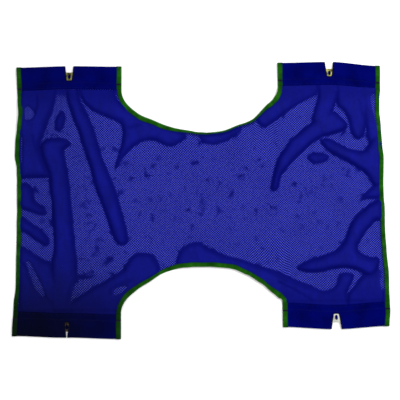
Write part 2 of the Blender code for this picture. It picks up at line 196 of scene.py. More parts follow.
# Raised areas: a height, and the line where the cloth leaves the floor, as places round it.
RAISED = (
    # the long fold that runs in from the notch
    (0.009, (
        (-0.510, 0.495), (-0.510, 0.425), (-0.510, 0.380), (-0.495, 0.340), (-0.480, 0.295),
        (-0.460, 0.250), (-0.445, 0.195), (-0.425, 0.140), (-0.410, 0.090), (-0.395, 0.030),
        (-0.375, -0.015), (-0.360, -0.060), (-0.345, -0.100), (-0.330, -0.145), (-0.315, -0.175),
        (-0.295, -0.180), (-0.275, -0.170), (-0.275, -0.155), (-0.280, -0.115), (-0.295, -0.065),
        (-0.310, -0.010), (-0.330, 0.050), (-0.350, 0.100), (-0.370, 0.145), (-0.385, 0.190),
        (-0.400, 0.250), (-0.420, 0.300), (-0.440, 0.340), (-0.460, 0.380), (-0.465, 0.425),
        (-0.465, 0.495),
    )),
    # the tall fold along the side, with its curled head
    (0.01, (
        (-0.610, 0.205), (-0.590, 0.220), (-0.560, 0.230), (-0.530, 0.230), (-0.510, 0.225),
        (-0.485, 0.205), (-0.510, 0.195), (-0.520, 0.180), (-0.510, 0.135), (-0.500, 0.080),
        (-0.495, 0.030), (-0.490, -0.015), (-0.490, -0.025), (-0.485, -0.065), (-0.480, -0.115),
        (-0.475, -0.165), (-0.470, -0.205), (-0.465, -0.250), (-0.465, -0.280), (-0.455, -0.335),
        (-0.470, -0.385), (-0.475, -0.485), (-0.555, -0.480), (-0.560, -0.300), (-0.560, -0.235),
        (-0.550, -0.205), (-0.550, -0.145), (-0.555, -0.080), (-0.560, -0.025), (-0.560, -0.010),
        (-0.570, 0.045), (-0.570, 0.090), (-0.595, 0.145),
    )),
    # the cloth held up by the side edge
    (0.007, (
        (-0.695, 0.495), (-0.545, 0.495), (-0.545, 0.425), (-0.550, 0.395), (-0.560, 0.340),
        (-0.575, 0.305), (-0.590, 0.260), (-0.600, 0.230), (-0.610, 0.205), (-0.595, 0.145),
        (-0.565, 0.085), (-0.570, 0.080), (-0.660, 0.080), (-0.690, 0.070),
    )),
    # a small hollow leaf
    (0.005, (
        (-0.540, 0.325), (-0.530, 0.340), (-0.510, 0.320), (-0.515, 0.280), (-0.535, 0.255),
        (-0.550, 0.260), (-0.555, 0.295),
    )),
    # first leaf in from the side edge
    (0.006, (
        (-0.690, 0.060), (-0.660, 0.060), (-0.640, 0.050), (-0.630, 0.025), (-0.625, -0.010),
        (-0.615, -0.015), (-0.595, -0.030), (-0.580, -0.045), (-0.580, -0.060), (-0.600, -0.065),
        (-0.630, -0.055), (-0.655, -0.045), (-0.685, -0.035),
    )),
    # second leaf
    (0.006, (
        (-0.685, -0.060), (-0.655, -0.075), (-0.625, -0.100), (-0.595, -0.115), (-0.575, -0.145),
        (-0.565, -0.170), (-0.575, -0.180), (-0.600, -0.170), (-0.630, -0.150), (-0.655, -0.130),
        (-0.685, -0.120),
    )),
    # lower corner by the side edge
    (0.006, (
        (-0.685, -0.175), (-0.665, -0.180), (-0.640, -0.195), (-0.610, -0.215), (-0.580, -0.235),
        (-0.560, -0.235), (-0.535, -0.310), (-0.485, -0.390), (-0.485, -0.495), (-0.680, -0.495),
    )),
    # above the first arch, from the notch to the waist
    (0.006, (
        (-0.465, 0.495), (-0.465, 0.425), (-0.455, 0.380), (-0.430, 0.350), (-0.395, 0.325),
        (-0.360, 0.310), (-0.320, 0.295), (-0.295, 0.275), (-0.295, 0.230), (-0.310, 0.170),
        (-0.325, 0.130), (-0.325, 0.105), (-0.315, 0.115), (-0.295, 0.150), (-0.265, 0.185),
        (-0.235, 0.210), (-0.190, 0.220), (-0.170, 0.220), (-0.155, 0.210), (-0.130, 0.195),
        (-0.100, 0.195), (-0.075, 0.210), (-0.060, 0.220), (-0.045, 0.240), (-0.155, 0.300),
        (-0.345, 0.375), (-0.295, 0.495),
    )),
    # below the second arch
    (0.006, (
        (-0.490, -0.395), (-0.460, -0.370), (-0.430, -0.350), (-0.400, -0.330), (-0.375, -0.320),
        (-0.345, -0.300), (-0.320, -0.285), (-0.295, -0.270), (-0.285, -0.255), (-0.275, -0.235),
        (-0.255, -0.215), (-0.225, -0.205), (-0.190, -0.210), (-0.175, -0.220), (-0.155, -0.250),
        (-0.150, -0.310), (-0.260, -0.370), (-0.295, -0.495), (-0.485, -0.495),
    )),
    # the small wedge beside the tall fold
    (0.003, (
        (-0.470, -0.280), (-0.440, -0.285), (-0.410, -0.290), (-0.385, -0.285), (-0.410, -0.300),
        (-0.435, -0.305), (-0.460, -0.310),
    )),
    # along the lower arch at the waist
    (0.005, (
        (-0.095, -0.285), (-0.100, -0.240), (-0.085, -0.205), (-0.065, -0.180), (-0.035, -0.170),
        (-0.005, -0.165), (0.020, -0.185), (0.050, -0.200), (0.095, -0.220), (0.145, -0.230),
        (0.195, -0.250), (0.255, -0.270), (0.240, -0.265), (0.275, -0.275), (0.310, -0.290),
        (0.350, -0.310), (0.385, -0.325), (0.415, -0.335), (0.450, -0.355), (0.480, -0.350),
        (0.500, -0.335), (0.510, -0.310), (0.515, -0.290), (0.540, -0.285), (0.565, -0.290),
        (0.575, -0.300), (0.565, -0.325), (0.550, -0.350), (0.540, -0.375), (0.580, -0.475),
        (0.295, -0.475), (0.270, -0.410), (0.135, -0.300), (0.030, -0.300),
    )),
    # a soft patch above it
    (0.0025, (
        (-0.070, -0.205), (-0.055, -0.170), (-0.025, -0.165), (-0.005, -0.185), (0.005, -0.205),
    )),
    # upper arch at the waist
    (0.0035, (
        (-0.015, 0.265), (-0.005, 0.220), (0.020, 0.200), (0.060, 0.195), (0.095, 0.210),
        (0.130, 0.230), (0.165, 0.250), (0.155, 0.295), (0.065, 0.295),
    )),
    # the strip along the upper arch to the hem
    (0.006, (
        (0.210, 0.335), (0.215, 0.280), (0.245, 0.265), (0.275, 0.280), (0.305, 0.305),
        (0.340, 0.330), (0.370, 0.350), (0.405, 0.370), (0.435, 0.385), (0.455, 0.390),
        (0.465, 0.505), (0.280, 0.505),
    )),
    # the column below the notch
    (0.007, (
        (0.455, 0.390), (0.445, 0.355), (0.435, 0.325), (0.425, 0.295), (0.440, 0.270),
        (0.495, 0.270), (0.510, 0.330), (0.520, 0.350), (0.540, 0.415), (0.545, 0.505),
        (0.450, 0.505),
    )),
    # the big curved fold
    (0.01, (
        (0.510, 0.330), (0.530, 0.315), (0.550, 0.295), (0.565, 0.275), (0.555, 0.255),
        (0.530, 0.245), (0.495, 0.235), (0.465, 0.230), (0.445, 0.215), (0.420, 0.200),
        (0.400, 0.180), (0.365, 0.150), (0.335, 0.115), (0.310, 0.090), (0.300, 0.065),
        (0.295, 0.035), (0.280, 0.020), (0.265, 0.025), (0.265, 0.040), (0.275, 0.080),
        (0.285, 0.115), (0.295, 0.150), (0.320, 0.180), (0.340, 0.215), (0.370, 0.240),
        (0.400, 0.265), (0.430, 0.285), (0.465, 0.320),
    )),
    # the tongue beside it
    (0.007, (
        (0.520, 0.350), (0.540, 0.340), (0.560, 0.315), (0.570, 0.285), (0.575, 0.250),
        (0.585, 0.225), (0.605, 0.215), (0.625, 0.230), (0.635, 0.265), (0.640, 0.315),
        (0.655, 0.355), (0.665, 0.505), (0.535, 0.505),
    )),
    # the fold from the side edge
    (0.009, (
        (0.455, 0.215), (0.470, 0.220), (0.490, 0.220), (0.515, 0.210), (0.540, 0.195),
        (0.570, 0.180), (0.615, 0.170), (0.635, 0.180), (0.650, 0.220), (0.680, 0.235),
        (0.700, 0.235), (0.700, 0.050), (0.660, 0.030), (0.645, 0.060), (0.625, 0.090),
        (0.600, 0.105), (0.565, 0.130), (0.525, 0.150), (0.495, 0.165), (0.470, 0.190),
    )),
    # by the outer seam
    (0.005, (
        (0.620, 0.505), (0.725, 0.505), (0.715, 0.230), (0.655, 0.200), (0.635, 0.210),
        (0.635, 0.255), (0.625, 0.330),
    )),
    # an oval
    (0.005, (
        (0.405, 0.155), (0.425, 0.170), (0.480, 0.165), (0.495, 0.150), (0.480, 0.130),
        (0.440, 0.120), (0.415, 0.130),
    )),
    # the side edge of the seat panel
    (0.006, (
        (0.660, 0.050), (0.645, 0.030), (0.625, 0.015), (0.610, -0.005), (0.595, -0.025),
        (0.615, -0.015), (0.640, -0.010), (0.690, -0.015), (0.700, 0.060),
    )),
    # the fold running in from the side edge
    (0.01, (
        (0.690, -0.005), (0.640, -0.030), (0.615, -0.050), (0.590, -0.070), (0.570, -0.095),
        (0.555, -0.125), (0.545, -0.155), (0.530, -0.185), (0.505, -0.205), (0.470, -0.220),
        (0.440, -0.230), (0.405, -0.240), (0.380, -0.250), (0.350, -0.270), (0.385, -0.285),
        (0.420, -0.285), (0.450, -0.285), (0.480, -0.275), (0.515, -0.270), (0.550, -0.270),
        (0.575, -0.275), (0.605, -0.290), (0.635, -0.305), (0.665, -0.275), (0.670, -0.230),
        (0.640, -0.235), (0.615, -0.225), (0.590, -0.210), (0.585, -0.195), (0.600, -0.165),
        (0.625, -0.130), (0.640, -0.115), (0.655, -0.095), (0.690, -0.090),
    )),
    # lower corner of the seat panel
    (0.006, (
        (0.605, -0.295), (0.580, -0.320), (0.565, -0.345), (0.550, -0.360), (0.540, -0.375),
        (0.545, -0.475), (0.680, -0.475), (0.690, -0.245), (0.670, -0.250), (0.640, -0.290),
    )),
)
# Places where the cloth lies back down on the floor inside a raised area.
LYING = (
    (
        (-0.670, 0.350), (-0.650, 0.355), (-0.640, 0.340), (-0.630, 0.325), (-0.640, 0.305),
        (-0.660, 0.300), (-0.670, 0.310),
    ),
    (
        (-0.680, 0.245), (-0.675, 0.230), (-0.675, 0.175), (-0.675, 0.135), (-0.680, 0.135),
    ),
    (
        (-0.655, -0.235), (-0.640, -0.235), (-0.615, -0.285), (-0.590, -0.330), (-0.580, -0.365),
        (-0.600, -0.365), (-0.630, -0.315),
    ),
    (
        (-0.470, -0.315), (-0.450, -0.320), (-0.455, -0.345), (-0.475, -0.380), (-0.490, -0.395),
        (-0.485, -0.360), (-0.475, -0.335),
    ),
    (
        (-0.330, -0.360), (-0.325, -0.340), (-0.300, -0.330), (-0.275, -0.330), (-0.285, -0.345),
        (-0.305, -0.360), (-0.325, -0.365),
    ),
    (
        (0.655, 0.395), (0.685, 0.395), (0.690, 0.330), (0.690, 0.265), (0.690, 0.190),
        (0.680, 0.165), (0.680, 0.230), (0.675, 0.295), (0.660, 0.340),
    ),
    (
        (0.670, -0.250), (0.685, -0.255), (0.685, -0.330), (0.675, -0.360), (0.670, -0.330),
        (0.665, -0.285),
    ),
)
# Creases: how deep, and the line each runs along.
CREASES = (
    # beside the side edge at the first hem
    (1, (
        (-0.625, 0.405), (-0.620, 0.385), (-0.620, 0.355), (-0.630, 0.325), (-0.645, 0.310),
        (-0.665, 0.305),
    )),
    # on the strip above the first arch
    (0.8, (
        (-0.475, 0.400), (-0.445, 0.370), (-0.405, 0.335), (-0.360, 0.315), (-0.330, 0.310),
        (-0.295, 0.300),
    )),
    # across the waist corner of that strip
    (0.6, (
        (-0.295, 0.260), (-0.265, 0.270), (-0.225, 0.280),
    )),
    # beside the tall fold, at the edge
    (0.7, (
        (-0.635, 0.240), (-0.630, 0.205), (-0.615, 0.170), (-0.595, 0.130),
    )),
    # down to the second hem
    (1, (
        (-0.665, -0.240), (-0.640, -0.280), (-0.620, -0.310), (-0.600, -0.340), (-0.575, -0.370),
        (-0.555, -0.395),
    )),
    # the second one beside it
    (0.7, (
        (-0.650, -0.280), (-0.635, -0.315), (-0.610, -0.355), (-0.590, -0.380),
    )),
    # from the tall fold to the notch
    (0.8, (
        (-0.465, -0.290), (-0.485, -0.320), (-0.495, -0.360), (-0.500, -0.400),
    )),
    # along the lower arch
    (0.8, (
        (-0.490, -0.400), (-0.455, -0.355), (-0.420, -0.325), (-0.380, -0.310), (-0.340, -0.290),
    )),
    # by the lower arch
    (0.6, (
        (-0.340, -0.360), (-0.340, -0.340), (-0.315, -0.325), (-0.285, -0.315), (-0.260, -0.310),
    )),
    # from the upper hem along the arch
    (0.6, (
        (0.345, 0.360), (0.375, 0.375), (0.415, 0.400), (0.450, 0.415),
    )),
    # beside the column
    (0.8, (
        (0.440, 0.405), (0.435, 0.360), (0.430, 0.310),
    )),
    # the other side of the column
    (0.8, (
        (0.520, 0.405), (0.515, 0.365), (0.510, 0.330),
    )),
    # in the tongue
    (0.5, (
        (0.600, 0.405), (0.615, 0.360), (0.620, 0.305),
    )),
    # along the lower arch of the seat
    (0.9, (
        (0.290, -0.320), (0.340, -0.345), (0.380, -0.370), (0.420, -0.395),
    )),
    # a second line along it
    (0.6, (
        (0.255, -0.285), (0.305, -0.310), (0.360, -0.335), (0.400, -0.350),
    )),
    # at the end of the fold
    (0.7, (
        (0.580, -0.190), (0.600, -0.140), (0.630, -0.110), (0.665, -0.085),
    )),
)
CREASE_WIDTH = 0.006
CREASE_DEPTH = 0.0012

# Small puckers in the lying cloth: (x, y, half length, half width, turn from +X in degrees).
PUCKERS = (
    (0.002, -0.018, 0.033, 0.0120, 80), (0.010, -0.050, 0.025, 0.0090, 70),
    (-0.060, 0.030, 0.015, 0.0075, 100), (-0.150, -0.006, 0.030, 0.0075, 50),
    (-0.278, 0.130, 0.018, 0.0090, 50), (0.286, -0.048, 0.020, 0.0105, 80),
    (-0.035, -0.115, 0.027, 0.0090, 85), (0.030, 0.070, 0.015, 0.0090, 30),
    (-0.020, 0.130, 0.020, 0.0075, 20), (-0.200, 0.080, 0.020, 0.0090, 120),
    (0.120, 0.020, 0.018, 0.0075, 60), (0.110, -0.120, 0.022, 0.0075, 110),
    (0.470, 0.070, 0.025, 0.0120, 95), (0.560, 0.090, 0.020, 0.0105, 60),
    (0.520, -0.010, 0.018, 0.0090, 40), (-0.440, -0.030, 0.022, 0.0120, 150),
    (-0.400, -0.110, 0.018, 0.0075, 60), (0.380, 0.000, 0.018, 0.0075, 80),
    (-0.300, 0.020, 0.013, 0.0090, 30), (-0.230, -0.060, 0.020, 0.0090, 70),
    (-0.180, 0.120, 0.018, 0.0090, 40), (-0.100, -0.080, 0.022, 0.0090, 60),
    (-0.120, 0.090, 0.015, 0.0075, 150), (0.060, -0.070, 0.018, 0.0075, 75),
    (0.170, 0.110, 0.015, 0.0075, 140), (0.210, -0.060, 0.018, 0.0075, 85),
    (0.420, 0.020, 0.015, 0.0090, 60), (0.500, 0.040, 0.015, 0.0075, 120),
    (0.430, -0.060, 0.018, 0.0090, 30), (-0.410, 0.060, 0.013, 0.0105, 80),
    (-0.390, -0.190, 0.022, 0.0105, 100), (-0.350, -0.240, 0.025, 0.0120, 30),
)
PUCKER_HEIGHT = 0.0017
CRINKLE_HEIGHT = 0.0015
FLANK_START = -0.007  # the cloth leaves the floor here, measured into a raised area
FLANK_END = 0.014
HEM_LIFT = 0.0015  # the barred hems hold the cloth's edge off the floor
HEM_LIFT_REACH = 0.035
EDGE_LIFT = 0.0015
EDGE_LIFT_REACH = 0.030
BACK_LIFT = 0.0003  # the back panel lies a little less closely
GRID_STEP = 0.004
MERGE = 6.0  # the power that joins overlapping raised areas without a bump
# the painted rim shade and the creases start at RIM_FROM and are full at RIM_FULL
RIM_FROM = 0.0014  # below this height cloth has no dark rim or crease
RIM_FULL = 0.0028


def line_distance(x, y, places):
    """From each point to a line through the places."""
    best = np.full(x.shape, 9.0)
    for (ax, ay), (bx, by) in zip(places, places[1:]):
        dx = bx - ax
        dy = by - ay
        t = np.clip(((x - ax) * dx + (y - ay) * dy) / (dx * dx + dy * dy), 0.0, 1.0)
        best = np.minimum(best, np.hypot(x - ax - t * dx, y - ay - t * dy))
    return best


def rounded(outline):
    """A closed line with each corner cut twice."""
    for _ in range(2):
        cut = []
        for (ax, ay), (bx, by) in zip(outline, outline[1:] + outline[:1]):
            cut.append((0.75 * ax + 0.25 * bx, 0.75 * ay + 0.25 * by))
            cut.append((0.25 * ax + 0.75 * bx, 0.25 * ay + 0.75 * by))
        outline = tuple(cut)
    return outline


def depth_inside(x, y, outline):
    """How far each point is inside a closed line, and below zero outside it."""
    outline = rounded(outline)
    closed = outline + outline[:1]
    spread = 0.03
    xs = [place[0] for place in outline]
    ys = [place[1] for place in outline]
    close = (x > min(xs) - spread) & (x < max(xs) + spread)
    close &= (y > min(ys) - spread) & (y < max(ys) + spread)
    depth = np.full(x.shape, -spread)
    px = x[close]
    py = y[close]
    inside = np.zeros(px.shape, bool)
    for (ax, ay), (bx, by) in zip(closed, closed[1:]):
        if ay != by:
            crossing = ax + (py - ay) * (bx - ax) / (by - ay)
            inside ^= ((ay > py) != (by > py)) & (px < crossing)
    depth[close] = line_distance(px, py, closed) * np.where(inside, 1.0, -1.0)
    return depth


def hem_distance(x, y):
    """From a point of a panel to its nearest hem line, never below zero."""
    best = np.full(x.shape, 9.0)
    for panel, end in PANELS:
        for side, across in SIDES:
            line = REACH[panel, side] - HEM_DEPTH
            off_end = np.maximum(ARCH_HALF_WIDTH - end * x, 0.0)
            best = np.minimum(best, np.hypot(np.maximum(line - across * y, 0.0), off_end))
    return best


def ripple(x, y):
    """Small even unevenness of soft cloth, about -1 to 1."""
    waves = (
        (21.0, 13.0, 0.3), (-17.0, 29.0, 1.9), (43.0, -11.0, 4.1), (9.0, 47.0, 2.7),
        (61.0, 38.0, 0.9), (-52.0, 57.0, 3.3), (74.0, -23.0, 5.2), (-31.0, -83.0, 1.1),
    )
    total = np.zeros(x.shape)
    for across_x, across_y, phase in waves:
        total += np.sin(across_x * x + across_y * y + phase)
    return total / 4.0


def crinkle(x, y, wavelength, start):
    """Uneven waves of about one size in every direction, mostly between -2 and 2."""
    bend = 1.6 * ripple(x * 0.9 + start, y * 0.9 - start)
    total = np.zeros(x.shape)
    for k in range(12):
        turn = 2.4 * k + start
        steps = 2 * math.pi / wavelength * (0.7 + 0.05 * k)
        ahead = x * math.cos(turn) + y * math.sin(turn)
        total += np.sin(steps * ahead + 1.7 * k * k + bend)
    return total / math.sqrt(6.0)


def relief():
    """Over a grid: the height of the laid-out cloth, and how near it is to a rim or a crease, kept as
    painted shade.
    """
    xs = np.arange(-0.75, 0.75 + GRID_STEP / 2, GRID_STEP)
    ys = np.arange(-0.56, 0.56 + GRID_STEP / 2, GRID_STEP)
    x, y = np.meshgrid(xs, ys, indexing="ij")
    total = np.full(x.shape, 1e-30)
    deepest = np.full(x.shape, -1.0)
    for height, outline in RAISED:
        depth = depth_inside(x, y, outline)
        crest = smooth(FLANK_START, FLANK_END, depth)
        total += (crest * height) ** MERGE
        deepest = np.maximum(deepest, depth)
    hem = HEM_LIFT * (1.0 - smooth(0.1, 1.0, hem_distance(x, y) / HEM_LIFT_REACH))
    total += hem ** MERGE
    edge = EDGE_LIFT * (1.0 - smooth(0.3, 1.0, (HALF_LENGTH - np.abs(x)) / EDGE_LIFT_REACH))
    total += edge ** MERGE
    height = total ** (1 / MERGE) * (1.0 + 0.16 * ripple(x * 1.3 + 0.2, y * 1.3))
    height += BACK_LIFT * smooth(0.15, 0.45, -x)
    # painted shade: darker towards the edges of the raised areas
    rim = 1.0 - smooth(0.003, 0.026, deepest)
    for outline in LYING:
        height *= 1.0 - 0.95 * smooth(-0.008, 0.003, depth_inside(x, y, outline))
    for at_x, at_y, length, width, turn in PUCKERS:
        c = math.cos(math.radians(turn))
        s = math.sin(math.radians(turn))
        ahead = ((x - at_x) * c + (y - at_y) * s) / length
        beside = ((y - at_y) * c - (x - at_x) * s) / width
        height += PUCKER_HEIGHT * np.exp(-ahead ** 2 - beside ** 2)
    veins = np.exp(-(crinkle(x, y, 0.085, 0.4) / 0.24) ** 2)
    patches = smooth(-0.6, 1.2, crinkle(x, y, 0.150, 1.9))
    humps = smooth(0.7, 2.2, crinkle(x, y, 0.055, 3.1))
    height += 0.0005 * np.clip(ripple(x, y), 0.0, 1.0)
    clear = smooth(0.03, 0.12, hem_distance(x, y))
    height += CRINKLE_HEIGHT * clear * (veins * patches + 0.9 * humps)
    rim *= smooth(RIM_FROM, RIM_FULL, height)
    for depth, line in CREASES:
        crease = depth * np.exp(-(line_distance(x, y, line) / CREASE_WIDTH) ** 2)
        crease *= smooth(RIM_FROM, RIM_FULL, height)
        height -= CREASE_DEPTH * crease
        rim = np.maximum(rim, crease)
    near_hem = smooth(0.0, 0.030, hem_distance(x, y))
    level = NET_AT_HEM + (NET_REST - NET_AT_HEM) * near_hem
    return level + height * smooth(0.0, 0.016, hem_distance(x, y)), rim


RELIEF, RIM_SHADE = relief()
# painted shade is strongest at this corner of the back panel
SHADED_CORNER = (-0.64, -0.52)
SHADED_REACH = 0.60


def touch(level):
    """1 where the net lies on the floor, falling to 0 where it is well clear of it."""
    return 1.0 - smooth(0.0006, 0.0030, level - NET_REST)


def shade_share(x, y):
    """How much painted shade darkens the cloth: most at one corner of the back panel, in a band along the
    hem there, and a little over the back panel's outer half.
    """
    away = np.hypot((x - SHADED_CORNER[0]) * 0.8, (y - SHADED_CORNER[1]) * 1.3)
    corner = (1.0 - smooth(0.0, 1.0, away / SHADED_REACH)) * 0.95
    above = y + REACH["back", "right"] - HEM_DEPTH
    band = 0.85 * (1.0 - smooth(0.0, 0.055, above)) * (1.0 - smooth(-0.60, -0.34, x))
    return np.maximum(np.maximum(corner, band * (above > -0.01)), 0.18 * smooth(0.30, 0.60, -x))


def sample(grid, x, y):
    """A grid's value at each point, evenly between its four nearest places."""
    gx = np.clip((x + 0.75) / GRID_STEP, 0, grid.shape[0] - 1.001)
    gy = np.clip((y + 0.56) / GRID_STEP, 0, grid.shape[1] - 1.001)
    i = gx.astype(int)
    j = gy.astype(int)
    s = gx - i
    t = gy - j
    low = grid[i, j] * (1 - s) + grid[i + 1, j] * s
    high = grid[i, j + 1] * (1 - s) + grid[i + 1, j + 1] * s
    return low * (1 - t) + high * t


# Materials.


class Shader:
    """A node tree with one Principled shader, built a node at a time."""

    def __init__(self, name):
        self.material = bpy.data.materials.new(name)
        self.material.use_nodes = True
        self.nodes = self.material.node_tree.nodes
        self.links = self.material.node_tree.links
        self.surface = self.nodes["Principled BSDF"]

    def node(self, kind, inputs=None, **settings):
        made = self.nodes.new(kind)
        for key, value in settings.items():
            setattr(made, key, value)
        for key, value in (inputs or {}).items():
            self.put(made, key, value)
        return made

    def put(self, node, key, value):
        if hasattr(value, "is_output"):
            self.links.new(value, node.inputs[key])
        else:
            node.inputs[key].default_value = value

    def set(self, key, value):
        self.put(self.surface, key, value)

    def uv(self, scale=(1.0, 1.0, 1.0), turn=0.0):
        source = self.node("ShaderNodeTexCoord").outputs["UV"]
        inputs = {"Vector": source, "Scale": scale, "Rotation": (0.0, 0.0, turn)}
        return self.node("ShaderNodeMapping", inputs).outputs["Vector"]

    def noise(self, vector, scale, detail=3.0):
        inputs = {"Vector": vector, "Scale": scale, "Detail": detail}
        return self.node("ShaderNodeTexNoise", inputs).outputs["Fac"]

    def math(self, operation, a, b=0.0):
        return self.node("ShaderNodeMath", {0: a, 1: b}, operation=operation).outputs[0]

    def remap(self, value, low, high, to_low=0.0, to_high=1.0):
        inputs = {
            "Value": value,
            "From Min": low,
            "From Max": high,
            "To Min": to_low,
            "To Max": to_high,
        }
        return self.node("ShaderNodeMapRange", inputs).outputs["Result"]

    def mix(self, share, a, b, blend="MIX"):
        inputs = {"Factor": share, 6: a, 7: b}
        made = self.node("ShaderNodeMix", data_type="RGBA", blend_type=blend)
        for key, value in inputs.items():
            self.put(made, key, value)
        return made.outputs[2]

    def wave(self, vector, scale, direction="X"):
        inputs = {"Vector": vector, "Scale": scale}
        made = self.node("ShaderNodeTexWave", inputs, bands_direction=direction)
        return made.outputs["Fac"]

    def attribute(self, name):
        made = self.node("ShaderNodeAttribute", attribute_name=name)
        return made.outputs["Fac"]

    def darken_by_shade(self, colour, shade_colour, most):
        """The colour darkened by the painted shade stored on the piece."""
        share = self.remap(self.attribute("painted_shade"), 0.0, 1.0, 0.0, most)
        return self.mix(share, colour, rgb(*shade_colour))

    def bump(self, height, distance, strength=1.0):
        inputs = {"Height": height, "Distance": distance, "Strength": strength}
        self.set("Normal", self.node("ShaderNodeBump", inputs).outputs["Normal"])


def rgb(red, green, blue):
    return (red, green, blue, 1.0)


def net_material():
    s = Shader("net_knit")
    plain = s.uv()
    broad = s.noise(plain, 9.0, 2.0)
    fine = s.noise(plain, 90.0, 3.0)
    touching = s.attribute("touching")
    rim_and_edge_shade = s.attribute("rim_and_edge_shade")
    # thin strands beside each hole let light through, and the knots between them don't; this light is
    # painted into the colour below
    place = s.node("ShaderNodeSeparateXYZ", {0: plain})
    along_x = s.math("COSINE", s.math("MULTIPLY", place.outputs["X"], 2 * math.pi / NET_PITCH_X))
    along_y = s.math("COSINE", s.math("MULTIPLY", place.outputs["Y"], 2 * math.pi / NET_PITCH_Y))
    strand = s.remap(s.math("MULTIPLY", along_x, along_y), -0.15, 0.70)
    slack = s.noise(s.uv((1.0, 0.45, 1.0), math.radians(12)), 34.0, 4.0)
    # painted shade: the raised net is given a darker colour than the net lying on the floor
    raised = s.mix(strand, rgb(0.0034, 0.0052, 0.172), rgb(0.0060, 0.0082, 0.244))
    raised = s.mix(s.remap(slack, 0.36, 0.66, 0.0, 0.55), raised, rgb(0.0028, 0.0040, 0.100))
    # painted light: where the net lies on the floor, the white floor's light through the knit is painted in
    # as a far lighter blue
    lying = s.mix(strand, rgb(0.0008, 0.0016, 0.022), rgb(0.0570, 0.0700, 0.780))
    colour = s.mix(touching, raised, lying)
    colour = s.mix(s.remap(broad, 0.65, 0.35, 0.0, 0.20), colour, rgb(0.0030, 0.0040, 0.110))
    # painted shade on fold rims and creases, along the tapes and near the hems
    colour = s.mix(s.math("MULTIPLY", rim_and_edge_shade, 0.85), colour, rgb(0.0001, 0.0006, 0.090))
    colour = s.mix(s.remap(fine, 0.40, 0.75, 0.0, 0.15), colour, rgb(0.002, 0.003, 0.090))
    # darkened by painted shade where the piece stores it
    s.set("Base Color", s.darken_by_shade(colour, (0.0015, 0.0020, 0.0180), 0.90))
    s.set("Roughness", s.remap(fine, 0.3, 0.7, 0.55, 0.75))
    s.set("Specular IOR Level", 0.02)
    knit = s.wave(s.uv((1.0, 1.0, 1.0), math.radians(45)), 260.0)
    cross = s.wave(s.uv((1.0, 1.0, 1.0), math.radians(-45)), 260.0)
    s.bump(s.math("ADD", s.math("MULTIPLY", knit, cross), s.math("MULTIPLY", fine, 0.3)), 0.0002)
    return s.material


def cloth_material(name, thread, shadow):
    s = Shader(name)
    plain = s.uv()
    broad = s.noise(plain, 14.0, 3.0)
    fine = s.noise(plain, 220.0, 2.0)
    warp = s.wave(plain, 310.0, "X")
    weft = s.wave(plain, 310.0, "Y")
    weave = s.math("MAXIMUM", warp, weft)
    colour = s.mix(s.remap(broad, 0.42, 0.72, 0.0, 0.80), rgb(*thread), rgb(*shadow))
    worn = s.remap(fine, 0.45, 0.8, 0.0, 0.30)
    colour = s.mix(worn, colour, rgb(*(c * 1.5 for c in thread)))
    # darkened by painted shade where the piece stores it
    s.set("Base Color", s.darken_by_shade(colour, (0.0016, 0.0020, 0.0050), 1.0))
    s.set("Roughness", s.remap(fine, 0.3, 0.7, 0.60, 0.80))
    s.set("Specular IOR Level", 0.0)
    s.bump(s.math("ADD", weave, s.math("MULTIPLY", broad, 0.5)), 0.0002)
    return s.material


def tape_material():
    """Ribbed binding tape: u runs along the tape and v from its inner edge to its fold."""
    s = Shader("ribbed_tape")
    plain = s.uv()
    across = s.node("ShaderNodeSeparateXYZ", {0: plain}).outputs["Y"]
    broad = s.noise(s.uv((1.0, 0.2, 1.0)), 26.0, 3.0)
    fine = s.noise(plain, 400.0, 2.0)
    ribs = s.wave(plain, 330.0, "X")
    cords = s.wave(plain, 160.0, "Y")
    colour = s.mix(s.remap(broad, 0.35, 0.65), rgb(0.0024, 0.0350, 0.0010), rgb(0.0100, 0.0920, 0.0030))
    # painted highlight: lighter along the tape's rounded fold
    rim = s.remap(across, 0.009, 0.015)
    colour = s.mix(s.math("MULTIPLY", rim, 0.55), colour, rgb(0.0240, 0.1450, 0.0030))
    # painted shade along the tape's inner edge, beside the net
    colour = s.mix(s.remap(across, 0.0030, 0.0008, 0.0, 0.70), colour, rgb(0.0020, 0.0200, 0.0040))
    # painted shade in the grooves between the ribs
    colour = s.mix(s.remap(ribs, 0.5, 0.0, 0.0, 0.35), colour, rgb(0.003, 0.030, 0.002))
    # darkened by painted shade where the piece stores it
    s.set("Base Color", s.darken_by_shade(colour, (0.0010, 0.0040, 0.0010), 1.0))
    s.set("Roughness", s.remap(fine, 0.3, 0.7, 0.55, 0.80))
    s.set("Specular IOR Level", 0.02)
    height = s.math("ADD", s.math("MULTIPLY", ribs, 0.7), s.math("MULTIPLY", cords, 0.3))
    s.bump(s.math("ADD", height, s.math("MULTIPLY", fine, 0.2)), 0.00025)
    return s.material


def thread_material():
    """Twisted sewing thread: u runs along each stitch."""
    s = Shader("sewing_thread")
    twist = s.wave(s.uv((1.0, 1.0, 1.0), math.radians(35)), 900.0)
    fine = s.noise(s.uv(), 300.0, 2.0)
    # painted shade: darker in the grooves of the twist, lighter on its ridges
    colour = s.mix(twist, rgb(0.0010, 0.0015, 0.0050), rgb(0.0040, 0.0060, 0.0200))
    colour = s.mix(s.remap(fine, 0.3, 0.7, 0.0, 0.3), colour, rgb(0.001, 0.001, 0.002))
    s.set("Base Color", colour)
    s.set("Roughness", s.remap(fine, 0.3, 0.7, 0.5, 0.7))
    s.set("Specular IOR Level", 0.15)
    s.bump(twist, 0.00008)
    return s.material


